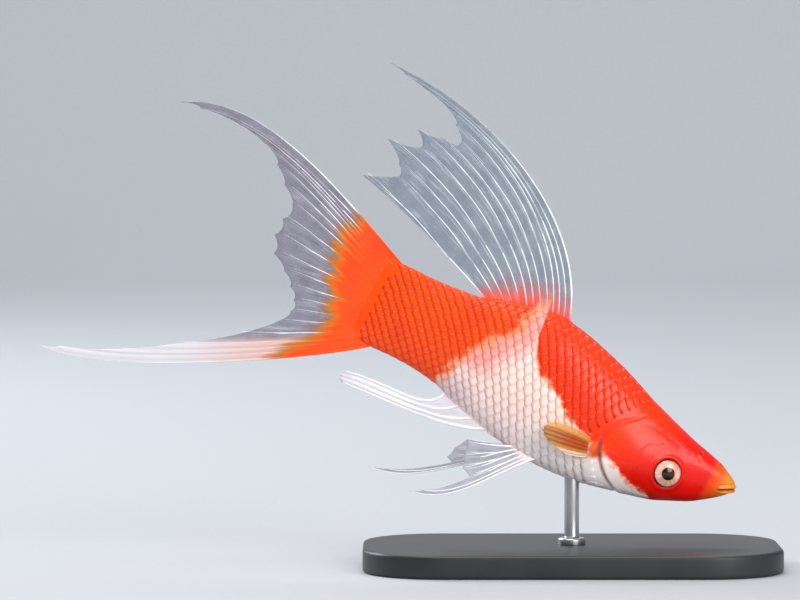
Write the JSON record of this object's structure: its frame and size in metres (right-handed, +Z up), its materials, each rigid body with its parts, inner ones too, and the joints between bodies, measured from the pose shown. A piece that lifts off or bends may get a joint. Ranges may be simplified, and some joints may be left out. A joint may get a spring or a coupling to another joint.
{
  "type": "swordtail fish model",
  "caption": "Life-size still model of a red and white lyretail swordtail with a tall dorsal fin, swimming head down over a flat stand on one short rod.",
  "frame": {"origin": "on the floor, at the middle of the stand's underside and straight below its rod", "axes": "+X towards the head, +Y to the fish's left, +Z up"},
  "size_m": [0.1106, 0.036, 0.0749],
  "materials": {
    "skin_red": "wet-looking red skin",
    "skin_white": "wet-looking pinkish white skin",
    "skin_orange": "wet-looking orange skin",
    "eye": "glossy silvery pink iris with a black pupil",
    "fin_grey": "clear grey web with pale rays",
    "fin_amber": "clear amber web with pale rays",
    "stand_black": "satin black",
    "stand_steel": "brushed"
  },
  "bodies": {
    "root": {"head": "skin_red", "trunk": "skin_white", "tail_stalk": "skin_orange", "eye_left": "eye", "eye_right": "eye", "dorsal_fin": "fin_grey", "tail_fin_upper_lobe": "fin_grey", "tail_fin_middle": "fin_grey", "tail_fin_sword": "fin_grey", "anal_fin": "fin_grey", "pelvic_fin_left": "fin_grey", "pelvic_fin_right": "fin_grey", "pectoral_fin_left": "fin_amber", "pectoral_fin_right": "fin_amber", "stand_base": "stand_black", "stand_rod": "stand_steel"}
  },
  "joints": []
}
